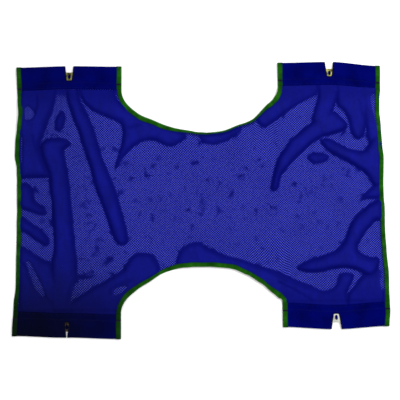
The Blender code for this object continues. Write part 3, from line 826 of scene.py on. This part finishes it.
def bar_material(name, plate, tint, stain):
    """Passivated zinc plate on pressed steel, blotchy and scuffed."""
    s = Shader(name)
    place = s.node("ShaderNodeTexCoord").outputs["Object"]
    blotch = s.noise(place, 70.0, 4.0)
    cloud = s.noise(place, 25.0, 2.0)
    grain = s.noise(place, 900.0, 2.0)
    stretched = s.node("ShaderNodeMapping", {"Vector": place, "Scale": (40.0, 900.0, 900.0)})
    scuffs = s.noise(stretched.outputs["Vector"], 1.0, 2.0)
    colour = s.mix(s.remap(cloud, 0.35, 0.65), rgb(*plate), rgb(*tint))
    colour = s.mix(s.remap(blotch, 0.48, 0.62, 0.0, 0.85), colour, rgb(*stain))
    colour = s.mix(s.remap(scuffs, 0.62, 0.75, 0.0, 0.5), colour, rgb(*(c * 1.4 for c in plate)))
    s.set("Base Color", colour)
    s.set("Metallic", 1.0)
    s.set("Roughness", s.remap(blotch, 0.3, 0.7, 0.45, 0.65))
    s.bump(s.math("ADD", s.math("MULTIPLY", grain, 0.4), scuffs), 0.00006)
    return s.material


def floor_material():
    s = Shader("pale_floor")
    place = s.node("ShaderNodeTexCoord").outputs["Object"]
    grain = s.noise(place, 40.0, 3.0)
    s.set("Base Color", s.mix(s.remap(grain, 0.3, 0.7), rgb(0.90, 0.90, 0.90), rgb(0.93, 0.93, 0.93)))
    s.set("Roughness", s.remap(grain, 0.3, 0.7, 0.7, 0.8))
    s.set("Specular IOR Level", 0.1)
    s.bump(grain, 0.0002, 0.3)
    return s.material


NET = net_material()
HEM_CLOTH = cloth_material("hem_weave", (0.0005, 0.0014, 0.0900), (0.0003, 0.0006, 0.0350))
TAPE = tape_material()
THREAD = thread_material()
# one zinc finish in three copies: the darker copy is painted shade for the bar at the back panel's shaded
# corner, and the paler copy is painted light for the seat's right bar
GOLD_BAR = bar_material("yellow_zinc_worn", (0.26, 0.25, 0.08), (0.11, 0.12, 0.03), (0.012, 0.010, 0.007))
SHADED_BAR = bar_material("zinc_shade_copy", (0.075, 0.050, 0.028), (0.040, 0.030, 0.020), (0.010, 0.008, 0.006))
LIT_BAR = bar_material("zinc_lit_copy", (0.62, 0.62, 0.58), (0.50, 0.52, 0.46), (0.22, 0.20, 0.14))


BAR_FINISH = {
    ("back", "left"): GOLD_BAR,
    ("seat", "left"): GOLD_BAR,
    ("back", "right"): SHADED_BAR,
    ("seat", "right"): LIT_BAR,
}


# Meshes.


class Piece:
    """Points, faces, flat coordinates and materials, gathered and then made into one object."""

    def __init__(self):
        self.points = []
        self.faces = []
        self.flat = []
        self.kinds = []
        self.count = 0

    def add(self, points, faces, flat, kind=0):
        self.points.append(np.asarray(points, float))
        self.flat.append(np.asarray(flat, float))
        self.faces.append(np.asarray(faces, int) + self.count)
        self.kinds.append(np.full(len(faces), kind))
        self.count += len(points)

    def make(self, name, materials):
        points = np.concatenate(self.points)
        flat = np.concatenate(self.flat)
        faces = np.concatenate(self.faces)
        mesh = bpy.data.meshes.new(name)
        mesh.vertices.add(len(points))
        mesh.vertices.foreach_set("co", points.astype(np.float32).ravel())
        mesh.loops.add(faces.size)
        mesh.loops.foreach_set("vertex_index", faces.ravel().astype(np.int32))
        mesh.polygons.add(len(faces))
        mesh.polygons.foreach_set("loop_start", np.arange(0, faces.size, 4, dtype=np.int32))
        mesh.polygons.foreach_set("loop_total", np.full(len(faces), 4, dtype=np.int32))
        mesh.polygons.foreach_set("material_index", np.concatenate(self.kinds).astype(np.int32))
        mesh.polygons.foreach_set("use_smooth", np.ones(len(faces), dtype=bool))
        mesh.update(calc_edges=True)
        layer = mesh.uv_layers.new(name="flat")
        layer.data.foreach_set("uv", flat[faces.ravel()].astype(np.float32).ravel())
        for material in materials:
            mesh.materials.append(material)
        mesh.validate()
        obj = bpy.data.objects.new(name, mesh)
        bpy.context.scene.collection.objects.link(obj)
        # each piece stores how far painted shade darkens it
        store(obj, "painted_shade", shade_share(points[:, 0], points[:, 1]))
        return obj


def grid_faces(rows, columns):
    """Quads between neighbouring rows and columns of a grid of points."""
    index = np.arange(rows * columns).reshape(rows, columns)
    return np.stack(
        [index[:-1, :-1], index[1:, :-1], index[1:, 1:], index[:-1, 1:]], axis=-1
    ).reshape(-1, 4)


def point_normals(points, faces):
    corner = points[faces]
    normal = np.cross(corner[:, 2] - corner[:, 0], corner[:, 3] - corner[:, 1])
    total = np.zeros(points.shape)
    for k in range(4):
        np.add.at(total, faces[:, k], normal)
    return total / np.maximum(np.linalg.norm(total, axis=1, keepdims=True), 1e-12)


def thicken(points, faces, flat, thickness):
    """The sheet as a closed ply: the same sheet moved back along its normals, and rims."""
    count = len(points)
    back = points - point_normals(points, faces) * thickness
    edges = np.concatenate([faces[:, [k, (k + 1) % 4]] for k in range(4)])
    keys = np.sort(edges, axis=1)
    _, first, times = np.unique(keys, axis=0, return_index=True, return_counts=True)
    rim = edges[first[times == 1]]
    walls = np.stack([rim[:, 1], rim[:, 0], rim[:, 0] + count, rim[:, 1] + count], axis=-1)
    every = np.concatenate([faces, faces[:, ::-1] + count, walls])
    return np.concatenate([points, back]), every, np.concatenate([flat, flat])


STITCH_PITCH = 0.0036
STITCH_LENGTH = 0.0030
THREAD_KIND = 1  # where THREAD stands in a piece's list of materials


def stitches(piece, path, up, pitch, length, radius, kind):
    """A row of short thread loops along a path, each sinking into the cloth at its ends."""
    path = np.asarray(path, float)
    up = np.asarray(up, float)
    steps = np.linalg.norm(np.diff(path, axis=0), axis=1)
    places = np.concatenate([[0.0], np.cumsum(steps)])
    number = max(int(places[-1] / pitch), 1)
    middle = (np.arange(number) + 0.5) * places[-1] / number
    stations = ((-0.5, -1.2), (-0.3, 0.25), (0.3, 0.25), (0.5, -1.2))
    sides = 4
    rings = []
    for shift, rise in stations:
        at = np.clip(middle + shift * length, 0.0, places[-1])
        centre = np.stack([np.interp(at, places, path[:, k]) for k in range(3)], axis=-1)
        lift = np.stack([np.interp(at, places, up[:, k]) for k in range(3)], axis=-1)
        ahead = np.stack(
            [np.interp(at + 0.001, places, path[:, k]) - np.interp(at - 0.001, places, path[:, k])
             for k in range(3)], axis=-1)
        ahead /= np.maximum(np.linalg.norm(ahead, axis=1, keepdims=True), 1e-12)
        lift /= np.linalg.norm(lift, axis=1, keepdims=True)
        beside = np.cross(ahead, lift)
        ring = []
        for k in range(sides):
            angle = 2 * math.pi * k / sides
            ring.append(
                centre
                + lift * radius * (rise + 0.8 * math.sin(angle))
                + beside * radius * math.cos(angle)
            )
        rings.append(np.stack(ring, axis=1))
    points = np.stack(rings, axis=1)  # stitch, station, side, xyz
    count = len(stations) * sides
    base = []
    for station in range(len(stations) - 1):
        for k in range(sides):
            after = (k + 1) % sides
            base.append([
                station * sides + k,
                station * sides + after,
                (station + 1) * sides + after,
                (station + 1) * sides + k,
            ])
    base.append(list(range(sides))[::-1])
    base.append([(len(stations) - 1) * sides + k for k in range(sides)])
    base = np.array(base)
    faces = (base[None] + (np.arange(number) * count)[:, None, None]).reshape(-1, 4)
    flat = np.zeros((number, len(stations), sides, 2))
    flat[..., 0] = (middle[:, None] + np.array([s[0] for s in stations]) * length)[..., None]
    flat[..., 1] = np.arange(sides) * radius
    piece.add(points.reshape(-1, 3), faces, flat.reshape(-1, 2), kind)


# The outline.


def arch_line(panel, side, across, end):
    """Half an arch's edge from the hem line to the crown, with unit normals into the cloth."""
    reach = REACH[panel, side]
    shoulder = reach - ARCH_SHOULDER
    height = shoulder - CROWN[side]
    power = 2 / ARCH_EXPONENT
    rows = [(ARCH_HALF_WIDTH, reach - HEM_DEPTH, 1.0, 0.0)]
    for angle in np.linspace(0.0, math.pi / 2, 90):
        over = max(math.cos(angle), 0.0) ** power
        down = math.sin(angle) ** power
        slope_x = over ** (ARCH_EXPONENT - 1) / ARCH_HALF_WIDTH
        slope_y = down ** (ARCH_EXPONENT - 1) / height
        size = math.hypot(slope_x, slope_y)
        rows.append((
            ARCH_HALF_WIDTH * over,
            shoulder - height * down,
            slope_x / size,
            -slope_y / size,
        ))
    rows = np.array(rows)
    rows *= np.array([end, across, end, across])
    return rows


def even_path(rows, step):
    """The same path with its points an even step apart."""
    places = np.concatenate([[0.0], np.cumsum(np.linalg.norm(np.diff(rows[:, :2], axis=0), axis=1))])
    count = max(int(round(places[-1] / step)), 2)
    at = np.linspace(0.0, places[-1], count + 1)
    made = np.stack([np.interp(at, places, rows[:, k]) for k in range(rows.shape[1])], axis=-1)
    made[:, 2:4] /= np.linalg.norm(made[:, 2:4], axis=1, keepdims=True)
    return made


def inside_panel(x, y, margin):
    """True where a point is inside the sling's flat outline by more than the margin."""
    result = np.zeros(x.shape, bool)
    for panel, end in PANELS:
        for side, across in SIDES:
            rows = arch_line(panel, side, 1, 1)
            order = np.argsort(rows[:, 0])
            quarter = (end * x >= 0) & (across * y >= 0)
            reach = REACH[panel, side]
            edge = np.interp(end * x - margin, rows[order, 0], rows[order, 1])
            below_arch = across * y < edge - margin * 0.7
            past_arch = end * x > ARCH_HALF_WIDTH + margin
            within = (across * y < reach - HEM_DEPTH + NET_PAST_HEM) & (below_arch | past_arch)
            result |= quarter & within & (end * x < HALF_LENGTH - margin)
    return result


def edge_distance(x, y):
    """From each point to the nearest bound edge."""
    best = HALF_LENGTH - np.abs(x)
    for panel, end in PANELS:
        for side, across in SIDES:
            rows = arch_line(panel, side, across, end)[::6]
            places = [tuple(row[:2]) for row in rows]
            best = np.minimum(best, line_distance(x, y, places))
    return best


def store(obj, name, values):
    made = obj.data.attributes.new(name, "FLOAT", "POINT")
    made.data.foreach_set("value", np.asarray(values, np.float32))


def net():
    """The whole net, one piece from side edge to side edge, with a real hole in each cell."""
    half = HOLE_SHARE / 2
    reach_cells = int(2 * 1.5 / NET_PITCH_Y)
    lines = np.arange(-reach_cells, reach_cells)
    # lines at the near and far side of each row of holes, in lattice steps
    marks = np.stack([lines - half, lines + half], axis=1).ravel()
    size = len(marks)
    a, b = np.meshgrid(marks, marks, indexing="ij")
    x = (a - b) * NET_PITCH_X / 2
    y = (a + b) * NET_PITCH_Y / 2
    close = (np.abs(x) < HALF_LENGTH + 0.02) & (np.abs(y) < 0.47)
    i, j = np.nonzero(close[:-1, :-1] & close[1:, 1:] & close[1:, :-1] & close[:-1, 1:])
    solid = ~((i % 2 == 0) & (j % 2 == 0))
    i = i[solid]
    j = j[solid]
    centre_x = (x[i, j] + x[i + 1, j + 1]) / 2
    centre_y = (y[i, j] + y[i + 1, j + 1]) / 2
    keep = inside_panel(centre_x, centre_y, 0.004)
    i = i[keep]
    j = j[keep]
    corners = np.stack(
        [i * size + j, (i + 1) * size + j, (i + 1) * size + j + 1, i * size + j + 1], axis=-1
    )
    used, index = np.unique(corners, return_inverse=True)
    faces = index.reshape(-1, 4)
    flat = np.stack([x.ravel()[used], y.ravel()[used]], axis=-1)
    for panel, end in PANELS:
        for side, across in SIDES:
            limit = REACH[panel, side] - HEM_DEPTH + NET_PAST_HEM
            here = (end * flat[:, 0] > ARCH_HALF_WIDTH * 0.8) & (across * flat[:, 1] > 0)
            flat[here, 1] = across * np.minimum(across * flat[here, 1], limit)
    px, py = settle(flat[:, 0], flat[:, 1])
    # touching falls to nothing near the hems, which closes the holes there and paints that net with the
    # raised colour as shade by the hems
    touching = touch(sample(RELIEF, px, py)) * smooth(0.004, 0.018, hem_distance(px, py))
    cell_a = flat[:, 0] / NET_PITCH_X + flat[:, 1] / NET_PITCH_Y
    cell_b = flat[:, 1] / NET_PITCH_Y - flat[:, 0] / NET_PITCH_X
    off_a = cell_a - np.round(cell_a)
    off_b = cell_b - np.round(cell_b)
    closing = HOLE_CLOSED * (1.0 - touching)
    drawn_x = flat[:, 0] - closing * (off_a - off_b) * NET_PITCH_X / 2
    drawn_y = flat[:, 1] - closing * (off_a + off_b) * NET_PITCH_Y / 2
    px, py = settle(drawn_x, drawn_y)
    points = np.stack([px, py, sample(RELIEF, px, py)], axis=-1)
    piece = Piece()
    piece.add(points, faces, flat)
    obj = piece.make("net_panels", [NET])
    # painted shade along the tapes' inner edges
    margin = 1.0 - smooth(0.013, 0.022, edge_distance(flat[:, 0], flat[:, 1]))
    # painted shade near the hems
    shade_by_hem = 0.45 * (1.0 - smooth(0.015, 0.090, hem_distance(px, py)))
    rim_and_edge_shade = np.maximum(np.maximum(sample(RIM_SHADE, px, py), 0.9 * margin), shade_by_hem)
    store(obj, "touching", touching)
    store(obj, "rim_and_edge_shade", rim_and_edge_shade)
    return obj


def tape(piece, rows, cover, tops, bottoms, phase):
    """Folded tape along an edge: rows of (x, y, inward x, inward y), and its two levels."""
    # across the tape, from its upper inner edge round the fold to its lower inner edge:
    # share of the cover, share of the way down, crown
    section = (
        (1.00, 0.00, -0.25), (0.93, 0.00, 0.10), (0.80, 0.00, 0.22), (0.60, 0.00, 0.30),
        (0.40, 0.00, 0.32), (0.22, 0.02, 0.26), (0.10, 0.10, 0.10), (0.035, 0.27, 0.0),
        (0.00, 0.50, 0.0), (0.035, 0.73, 0.0), (0.10, 0.90, 0.0), (0.22, 0.98, 0.0),
        (0.45, 1.00, 0.0), (0.70, 1.00, 0.0), (1.00, 1.00, 0.0),
    )
    count = len(rows)
    lengths = np.linalg.norm(np.diff(rows[:, :2], axis=0), axis=1)
    distance = np.concatenate([[0.0], np.cumsum(lengths)])
    pucker = 0.00018 * np.sin(distance * 2 * math.pi / 0.011 + phase)
    pucker += 0.00012 * np.sin(distance * 2 * math.pi / 0.0067 + 2.3 * phase)
    wander = 0.0005 * np.sin(distance * 2 * math.pi / 0.083 + phase)
    points = []
    flat = []
    for inward, down, crown in section:
        reach_in = inward * (cover + wander)
        x = rows[:, 0] + rows[:, 2] * reach_in
        y = rows[:, 1] + rows[:, 3] * reach_in
        sx, sy = settle(x, y)
        z = tops * (1 - down) + bottoms * down + crown * 0.001
        z = z + pucker * (1 - down) * (0.3 + 0.7 * inward)
        points.append(np.stack([sx, sy, z], axis=-1))
        flat.append(np.stack([distance, np.full(count, 0.015 * (1 - inward))], axis=-1))
    points = np.stack(points, axis=1)
    flat = np.stack(flat, axis=1)
    faces = grid_faces(count, len(section))
    sheet = thicken(points.reshape(-1, 3), faces, flat.reshape(-1, 2), 0.0006)
    normal = point_normals(points.reshape(-1, 3), faces).mean(axis=0)
    if normal[2] < 0:
        sheet = thicken(points.reshape(-1, 3), faces[:, ::-1], flat.reshape(-1, 2), 0.0006)
    piece.add(*sheet)
    return points


def tape_rows(piece, points):
    """The two lines of stitching that hold a tape, near its inner edge, above and below."""
    top = points[:, 1] * 0.55 + points[:, 2] * 0.45
    ups = np.tile([0.0, 0.0, 1.0], (len(top), 1))
    stitches(piece, top, ups, STITCH_PITCH, STITCH_LENGTH, 0.00032, THREAD_KIND)
    low = points[:, -1] * 0.85 + points[:, -2] * 0.15
    stitches(piece, low, -ups, STITCH_PITCH, STITCH_LENGTH, 0.00025, THREAD_KIND)


TAPE_ABOVE = 0.0014  # a tape's upper side, over the net's own height
TAPE_BELOW = 0.0010
TAPE_LOWEST = 0.0002  # the least height of its underside


def edge_levels(rows, cover):
    """Upper and lower levels of the tape along an edge of the net, from the net's own height."""
    x, y = settle(rows[:, 0] + rows[:, 2] * cover * 0.6, rows[:, 1] + rows[:, 3] * cover * 0.6)
    height = sample(RELIEF, x, y)
    kernel = np.ones(5) / 5
    padded = np.pad(height, 2, mode="edge")
    height = np.convolve(padded, kernel, mode="valid")
    return height + TAPE_ABOVE, np.maximum(height - TAPE_BELOW, TAPE_LOWEST)


# How an arch's tape varies in width: (x, share of its full width).
ARCH_TAPE_WIDTH = {
    "left": (
        (-0.30, 1.00), (-0.14, 1.00), (-0.04, 0.55), (0.06, 0.40), (0.17, 0.42), (0.24, 0.75),
        (0.30, 1.00),
    ),
    "right": ((-0.30, 1.00), (-0.16, 0.75), (-0.08, 1.00), (0.30, 1.00)),
}


def side_tape(panel, end):
    bottom = -(REACH[panel, "right"] - HEM_DEPTH)
    top = REACH[panel, "left"] - HEM_DEPTH
    ys = np.linspace(bottom, top, 150)
    rows = np.stack(
        [np.full(150, end * HALF_LENGTH), ys, np.full(150, -end), np.zeros(150)], axis=-1
    )
    cover = TAPE_COVER + TAPE_SPREAD
    tops, bottoms = edge_levels(rows, cover)
    piece = Piece()
    points = tape(piece, rows, cover, tops, bottoms, 0.7 + end)
    tape_rows(piece, points)
    obj = piece.make(f"side_tape_{panel}", [TAPE, THREAD])
    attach(obj, BODY[panel])
    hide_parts(f"side_binding_{panel}")
    return obj


def arch_tape(side, across):
    back = arch_line("back", side, across, -1)
    seat = arch_line("seat", side, across, 1)
    rows = even_path(np.concatenate([back[:-1], seat[::-1]]), 0.005)
    cover = (TAPE_COVER + TAPE_SPREAD) * along(rows[:, 0], ARCH_TAPE_WIDTH[side])
    tops, bottoms = edge_levels(rows, cover)
    piece = Piece()
    points = tape(piece, rows, cover, tops, bottoms, 2.1 + across)
    tape_rows(piece, points)
    obj = piece.make(f"arch_tape_{side}", [TAPE, THREAD])
    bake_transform(obj)
    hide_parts(f"arch_binding_back_{side}", f"arch_binding_seat_{side}")
    return obj


# The hems.

# From the hem line to the bar tacks across a hem's inner and outer end tapes.
TACKS = {
    ("back", "left"): {"inner": 0.020, "outer": 0.005},
    ("seat", "left"): {"inner": 0.020, "outer": 0.023},
    ("back", "right"): {"inner": 0.022, "outer": 0.028},
    ("seat", "right"): {"inner": 0.030, "outer": 0.026},
}
# How far each notch has pulled together at its mouth and at its end.
NOTCH_DRAWN = {
    ("back", "left"): (0.006, 0.002),
    ("seat", "left"): (0.005, 0.003),
    ("back", "right"): (0.034, 0.006),
    ("seat", "right"): (0.000, 0.002),
}
HEM_ROWS = (0.006, 0.0245)  # from the hem line to the two rows of stitching
SEAM_WIDTH = 0.0022
SLEEVE_LOW = 0.0011
SLEEVE_FLAT_TOP = 0.0041
SLEEVE_POCKET_TOP = 0.0063
FOLD_RADIUS = (SLEEVE_POCKET_TOP - SLEEVE_LOW) / 2


def sleeve_top(distance, depth):
    """Height of a hem's upper surface at a distance from the hem line."""
    slope = depth - POCKET_DEPTH - POCKET_SLOPE
    rise = smooth(slope - 0.003, slope + 0.009, distance)
    return SLEEVE_FLAT_TOP + (SLEEVE_POCKET_TOP - SLEEVE_FLAT_TOP) * rise


def sleeve_path():
    """The folded hem end on: (distance from the hem line, height), over the top and back under."""
    fold = HEM_DEPTH - FOLD_RADIUS
    over = np.concatenate([
        np.linspace(0.0, 0.030, 13),
        np.linspace(0.030, HEM_DEPTH - NOTCH_DEPTH, 3)[1:],
        HEM_DEPTH - NOTCH_DEPTH + 0.0045 * (np.arange(1, 7) / 6) ** 1.6,
        np.linspace(HEM_DEPTH - NOTCH_DEPTH + 0.0045, fold, 20)[1:],
    ])
    rows = [(d, float(sleeve_top(d, HEM_DEPTH))) for d in over]
    middle = (SLEEVE_POCKET_TOP + SLEEVE_LOW) / 2
    for angle in np.linspace(90, -90, 9)[1:]:
        turn = math.radians(angle)
        rows.append((fold + FOLD_RADIUS * math.cos(turn), middle + FOLD_RADIUS * math.sin(turn)))
    rows += [(d, SLEEVE_LOW) for d in over[-2::-1]]
    return rows


def notch_half(distance, drawn):
    """Half the notch's width at a distance from the hem line, or nothing short of the notch."""
    past = distance - (HEM_DEPTH - NOTCH_DEPTH)
    if past < -1e-6:
        return 0.0
    mouth = NOTCH_MOUTH - drawn[0]
    inner = NOTCH_END - drawn[1]
    straight = inner / 2 + (mouth - inner) / 2 * past / NOTCH_DEPTH
    short = max(NOTCH_ROUND - past, 0.0)
    return straight - NOTCH_ROUND + math.sqrt(max(NOTCH_ROUND ** 2 - short ** 2, 0.0))


def sleeve(panel, end, side, across):
    name = f"{panel}_{side}"
    reach = REACH[panel, side]
    path = sleeve_path()
    inner_x = ARCH_HALF_WIDTH + 0.0012
    outer_x = HALF_LENGTH - 0.0012
    drawn = NOTCH_DRAWN[panel, side]
    narrowest = min((NOTCH_END - drawn[1]) / 2 - NOTCH_ROUND, (NOTCH_MOUTH - drawn[0]) / 2)
    columns = 70
    middle_columns = 6
    shares = np.linspace(0.0, 1.0, columns)
    shares = 1.0 - (1.0 - shares) ** 1.25
    points = []
    keep = []
    for distance, height in path:
        half = max(notch_half(distance, drawn), narrowest)
        left = inner_x + (HEM_CENTRE - half - inner_x) * shares
        between = np.linspace(HEM_CENTRE - half, HEM_CENTRE + half, middle_columns + 2)[1:-1]
        right = outer_x + (HEM_CENTRE + half - outer_x) * shares[::-1]
        xs = np.concatenate([left, between, right])
        points.append(np.stack([xs, np.full(len(xs), distance), np.full(len(xs), height)], axis=-1))
        keep.append(distance < HEM_DEPTH - NOTCH_DEPTH + 1e-6)
    points = np.array(points)
    rows, width = points.shape[:2]
    on_top = np.arange(rows) < np.argmax(points[:, 0, 1])
    x = points[..., 0]
    d = points[..., 1]
    seam = sum(np.exp(-((d - row) / SEAM_WIDTH) ** 2) for row in HEM_ROWS)
    halves = np.array([notch_half(distance, drawn) for distance in d[:, 0]])[:, None]
    aside = np.maximum(np.abs(x - HEM_CENTRE) - np.maximum(halves, narrowest), 0.0)
    notch_edge = np.hypot(aside, np.maximum(HEM_DEPTH - NOTCH_DEPTH - d, 0.0))
    rolled = 0.0005 * (1.0 - smooth(0.002, 0.009, notch_edge))
    soft = 0.00035 * ripple(x * 1.7 + end, d * 2.3 + across)
    soft += 0.00025 * np.sin(x * 2 * math.pi / 0.021 + 3 * d / 0.02) * smooth(0.03, 0.005, d)
    shape = (soft - 0.0004 * seam + rolled) * on_top[:, None]
    points[..., 2] += shape * smooth(HEM_DEPTH, HEM_DEPTH - 0.006, d)
    flat_path = np.cumsum([0.0] + [math.dist(a, b) for a, b in zip(path, path[1:])])
    flat = np.stack([x, np.broadcast_to(flat_path[:, None], x.shape)], axis=-1)
    world_x = end * x
    world_y = across * (reach - HEM_DEPTH + d)
    world_x, world_y = settle(world_x, world_y)
    world = np.stack([world_x, world_y, points[..., 2]], axis=-1).reshape(-1, 3)
    faces = []
    keep = np.array(keep)
    number = np.arange(rows * width).reshape(rows, width)
    for row in range(rows - 1):
        both = keep[row] and keep[row + 1]
        for column in range(width - 1):
            in_notch = columns - 1 <= column < columns + middle_columns
            if in_notch and not both:
                continue
            faces.append([
                number[row, column], number[row + 1, column],
                number[row + 1, column + 1], number[row, column + 1],
            ])
    faces = np.array(faces)
    if point_normals(world, faces)[number[5, 5], 2] < 0:
        faces = faces[:, ::-1]
    used, renumbered = np.unique(faces, return_inverse=True)
    faces = renumbered.reshape(-1, 4)
    piece = Piece()
    piece.add(*thicken(world[used], faces, flat.reshape(-1, 2)[used], PLY))
    xs = np.linspace(inner_x + 0.004, outer_x - 0.004, 100)
    for distance in HEM_ROWS:
        sx, sy = settle(end * xs, np.full(100, across * (reach - HEM_DEPTH + distance)))
        upper = sleeve_top(np.full(100, distance), HEM_DEPTH) - 0.0004
        upper = upper + 0.00035 * ripple(xs * 1.7 + end, np.full(100, distance * 2.3 + across))
        for zs, facing in ((upper, 1.0), (np.full(100, SLEEVE_LOW), -1.0)):
            up = np.tile([0.0, 0.0, facing], (100, 1))
            route = np.stack([sx, sy, zs], axis=-1)
            stitches(piece, route, up, STITCH_PITCH, STITCH_LENGTH, 0.00030, THREAD_KIND)
    for direction in (-1, 1):
        ds = np.linspace(HEM_DEPTH - NOTCH_DEPTH + 0.004, HEM_DEPTH - 0.004, 30)
        xs = np.array([HEM_CENTRE + direction * (notch_half(value, drawn) + 0.0045) for value in ds])
        sx, sy = settle(end * xs, across * (reach - HEM_DEPTH + ds))
        zs = sleeve_top(ds, HEM_DEPTH) + 0.0004
        up = np.tile([0.0, 0.0, 1.0], (30, 1))
        route = np.stack([sx, sy, zs], axis=-1)
        stitches(piece, route, up, STITCH_PITCH, STITCH_LENGTH, 0.00030, THREAD_KIND)
    # a dark patch behind the bar's eye, standing in for shade
    eye_shade_patch(piece, end, across, reach)
    obj = piece.make(f"hem_sleeve_{name}", [HEM_CLOTH, THREAD])
    # painted shade along the notch's cut edges, added to the piece's other painted shade
    notch_edge_shade = 1.0 - smooth(0.0010, 0.0055, notch_edge.reshape(-1)[used])
    painted_shade = obj.data.attributes["painted_shade"].data
    for index, share in enumerate(np.tile(notch_edge_shade, 2)):
        painted_shade[index].value = max(painted_shade[index].value, share)
    blend_hem(obj)
    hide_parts(f"sleeve_{name}", f"mesh_tongue_{name}")
    return obj


def eye_shade_patch(piece, end, across, reach):
    """A thin dark cloth patch across the notch, behind the bar's eye: a sheet put there to stand in for the
    shade seen through the eye.
    """
    xs = np.linspace(HEM_CENTRE - 0.020, HEM_CENTRE + 0.020, 9)
    ds = np.linspace(0.031, 0.0690, 9)
    d, x = np.meshgrid(ds, xs, indexing="ij")
    y = across * (reach - HEM_DEPTH + d.ravel())
    points = np.stack([end * x.ravel(), y, np.full(y.shape, 0.00215)], axis=-1)
    flat = np.stack([x.ravel(), d.ravel()], axis=-1)
    faces = grid_faces(9, 9)
    if point_normals(points, faces)[40, 2] < 0:
        faces = faces[:, ::-1]
    piece.add(*thicken(points, faces, flat, 0.0002))


def blend_hem(obj):
    """Bakes the piece's placement into its points."""
    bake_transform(obj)


def end_tape(panel, end, side, across, place):
    """Tape round one end of a hem, with the bar tack across it at the pocket's seam."""
    reach = REACH[panel, side]
    if place == "outer":
        x = HALF_LENGTH
        inward = -1
    else:
        x = ARCH_HALF_WIDTH
        inward = 1
    count = 32
    distance = np.linspace(-0.0005, HEM_DEPTH + 0.0006, count)
    rows = np.stack([
        np.full(count, end * x),
        across * (reach - HEM_DEPTH + distance),
        np.full(count, float(end * inward)),
        np.zeros(count),
    ], axis=-1)
    tops = sleeve_top(distance, HEM_DEPTH) + 0.0009
    tops = tops - 0.0014 * smooth(HEM_DEPTH - 0.003, HEM_DEPTH + 0.0006, distance)
    bottoms = np.full(count, TAPE_LOWEST)
    piece = Piece()
    points = tape(piece, rows, END_TAPE_COVER, tops, bottoms, 1.3 * end + across)
    tape_rows(piece, points)
    row = int(np.argmin(np.abs(distance - TACKS[panel, side][place])))
    across_tape = points[row, 0:8] + np.array([0.0, 0.0, 0.00030])
    for shift in (-0.0024, -0.0012, 0.0, 0.0012, 0.0024):
        line = across_tape + np.array([0.0, across * shift, 0.0])
        up = np.tile([0.0, 0.0, 1.0], (len(line), 1))
        stitches(piece, line, up, 0.0030, 0.0034, 0.00080, THREAD_KIND)
    obj = piece.make(f"hem_tape_{panel}_{side}_{place}", [TAPE, THREAD])
    blend_hem(obj)
    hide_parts(f"end_binding_{panel}_{side}_{place}")
    return obj


net_panels = net()
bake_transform(net_panels)
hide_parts("mesh_back", "mesh_seat")

for side, across in SIDES:
    arch_tape(side, across)
for panel, end in PANELS:
    side_tape(panel, end)
    for side, across in SIDES:
        sleeve(panel, end, side, across)
        for place in ("inner", "outer"):
            end_tape(panel, end, side, across, place)
        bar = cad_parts[f"hanger_bar_{panel}_{side}"]
        finish = BAR_FINISH[panel, side]
        for material_slot in bar.material_slots:
            material_slot.material = finish


# The floor, the light and the camera.

bpy.ops.mesh.primitive_grid_add(x_subdivisions=8, y_subdivisions=8, size=8.0, location=(0, 0, -0.0004))
floor = bpy.context.object
floor.name = "floor"
floor.data.materials.append(floor_material())

world = bpy.data.worlds.new("studio")
bpy.context.scene.world = world
world.use_nodes = True
world.node_tree.nodes["Background"].inputs["Color"].default_value = rgb(1.0, 1.0, 1.0)
world.node_tree.nodes["Background"].inputs["Strength"].default_value = 0.85


def area_light(name, place, aim, size, power):
    data = bpy.data.lights.new(name, "AREA")
    data.shape = "SQUARE"
    data.size = size
    data.energy = power
    obj = bpy.data.objects.new(name, data)
    obj.location = place
    obj.rotation_euler = (Vector(aim) - Vector(place)).to_track_quat("-Z", "Y").to_euler()
    bpy.context.scene.collection.objects.link(obj)
    return obj


area_light("key", (2.2, 1.5, 2.6), (0.1, 0.0, 0.0), 1.8, 105.0)
area_light("fill", (-1.6, -0.6, 2.2), (-0.3, -0.1, 0.0), 1.6, 8.0)

camera_data = bpy.data.cameras.new("camera")
camera_data.lens = 59.84
camera_data.sensor_width = 36.0
camera = bpy.data.objects.new("camera", camera_data)
camera.location = (-0.0415, -0.2541, 2.5017)
camera.rotation_euler = (math.radians(5.58), math.radians(-0.823), math.radians(-0.545))
bpy.context.scene.collection.objects.link(camera)
bpy.context.scene.camera = camera
bpy.context.scene.view_settings.view_transform = "Standard"
